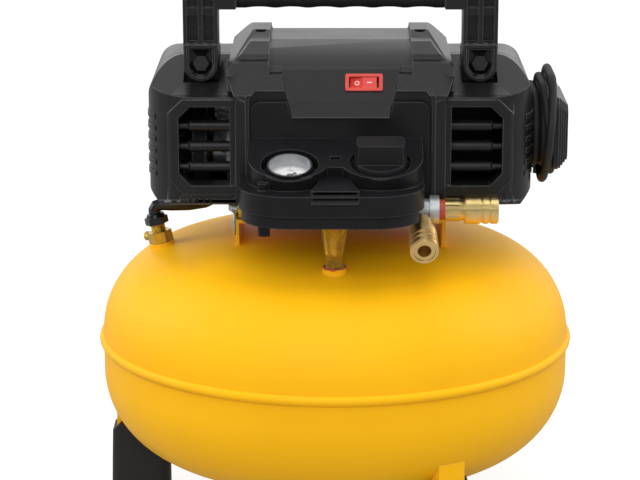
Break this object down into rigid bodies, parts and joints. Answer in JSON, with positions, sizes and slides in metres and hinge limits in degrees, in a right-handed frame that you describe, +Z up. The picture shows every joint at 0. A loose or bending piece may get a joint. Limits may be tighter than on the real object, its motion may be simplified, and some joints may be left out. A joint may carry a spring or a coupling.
{
  "type": "pancake air compressor",
  "caption": "Portable pancake air compressor: flat round tank on three rubber feet, shrouded belt-driven pump, carrying handle, gauge and regulator console and two quick outlets.",
  "frame": {"origin": "on the floor under the tank's axis, which is the middle of the object's box", "axes": "+Z up; -Y towards the person at the controls; +X to that person's right, where the cord wrap is"},
  "size_m": [0.4149, 0.415, 0.485],
  "materials": {
    "tank_paint": "gloss yellow powder coat",
    "rubber": "matte black",
    "brass": "turned, satin",
    "cast_metal": "cast and machined",
    "steel": "zinc plated",
    "dark_steel": "blackened",
    "sealant": "dried red thread sealant",
    "nut_plastic": "matte black",
    "knob_plastic": "satin black",
    "shroud_plastic": "fine-textured black moulding",
    "switch_red": "gloss red",
    "dial_card": "matte white",
    "needle_paint": "matte black",
    "lens": "clear"
  },
  "bodies": {
    "machine": {"tank_upper": "tank_paint", "tank_lower": "tank_paint", "tank_weld": "tank_paint", "legs": "tank_paint", "rubber_feet": "rubber", "drain_valve": "brass", "check_valve": "brass", "discharge_nut": "nut_plastic", "discharge_hose": "rubber", "tank_riser": "brass", "manifold": "cast_metal", "manifold_seal": "sealant", "regulator_body": "nut_plastic", "pressure_switch": "nut_plastic", "safety_valve": "brass", "coupler_right": "brass", "coupler_front": "brass", "gauge_case": "steel", "gauge_dial": "dial_card", "gauge_lens": "lens", "console": "shroud_plastic", "rocker_frame": "switch_red", "shroud_front": "shroud_plastic", "shroud_rear": "shroud_plastic", "shroud_screws": "steel", "handle": "shroud_plastic", "handle_grip": "rubber", "handle_bolts": "dark_steel", "pump_platform": "tank_paint", "pump_isolators": "rubber", "pump_frame": "cast_metal", "motor_stator": "dark_steel", "motor_end_cap": "cast_metal", "crankcase": "cast_metal", "crank_bearings": "steel", "drive_belt": "rubber", "cylinder": "cast_metal", "cylinder_head": "cast_metal", "head_bolts": "dark_steel", "intake_filter": "nut_plastic", "cord_wrap": "shroud_plastic", "strain_relief": "rubber", "cord_lead": "rubber", "cord_hank": "rubber", "cord_tail": "rubber", "cord_plug": "rubber"},
    "rocker": {"rocker": "switch_red"},
    "knob": {"regulator_knob": "knob_plastic"},
    "needle": {"gauge_needle": "needle_paint"},
    "ring": {"safety_ring": "steel"},
    "sleeve_a": {"sleeve_right": "brass"},
    "sleeve_b": {"sleeve_front": "brass"},
    "drain": {"drain_knob": "brass"},
    "rotor": {"motor_rotor": "steel"},
    "crank": {"crankshaft": "steel", "cooling_fan": "nut_plastic"},
    "piston": {"piston": "cast_metal"}
  },
  "joints": [
    {"name": "power_rocker", "type": "hinge", "parent": "machine", "child": "rocker", "pos_m": [0.024, -0.07433, 0.39295], "axis": [0, 0.5351, 0.8448], "range_deg": [0, 20]},
    {"name": "regulator_turn", "type": "hinge", "parent": "machine", "child": "knob", "pos_m": [0.037, -0.13209, 0.34045], "axis": [0, -0.309, 0.9511], "range_deg": [-540, 540]},
    {"name": "needle_sweep", "type": "hinge", "parent": "machine", "child": "needle", "pos_m": [-0.037, -0.13589, 0.33921], "axis": [0, -0.309, 0.9511], "range_deg": [-270, 0], "stiffness_Nm_per_rad": 0.0004},
    {"name": "relief_pull", "type": "slide", "parent": "machine", "child": "ring", "axis": [-1, 0, 0], "range_m": [0, 0.003], "stiffness_N_per_m": 400},
    {"name": "sleeve_right_back", "type": "slide", "parent": "machine", "child": "sleeve_a", "axis": [-1, 0, 0], "range_m": [0, 0.004], "stiffness_N_per_m": 800},
    {"name": "sleeve_front_back", "type": "slide", "parent": "machine", "child": "sleeve_b", "axis": [-0.0332, 0.9505, 0.309], "range_m": [0, 0.004], "stiffness_N_per_m": 800},
    {"name": "drain_turn", "type": "hinge", "parent": "machine", "child": "drain", "pos_m": [0, 0, 0.03], "axis": [0, 0, -1], "range_deg": [0, 540]},
    {"name": "motor_spin", "type": "hinge", "parent": "machine", "child": "rotor", "pos_m": [0, 0.048, 0.333], "axis": [1, 0, 0], "continuous": true},
    {"name": "crank_spin", "type": "hinge", "parent": "machine", "child": "crank", "pos_m": [0, -0.022, 0.328], "axis": [1, 0, 0], "continuous": true},
    {"name": "piston_stroke", "type": "slide", "parent": "machine", "child": "piston", "axis": [0, 0, 1], "range_m": [-0.02, 0]}
  ],
  "couplings": [
    {"joint": "crank_spin", "follows": "motor_spin", "ratio": 0.27941}
  ]
}
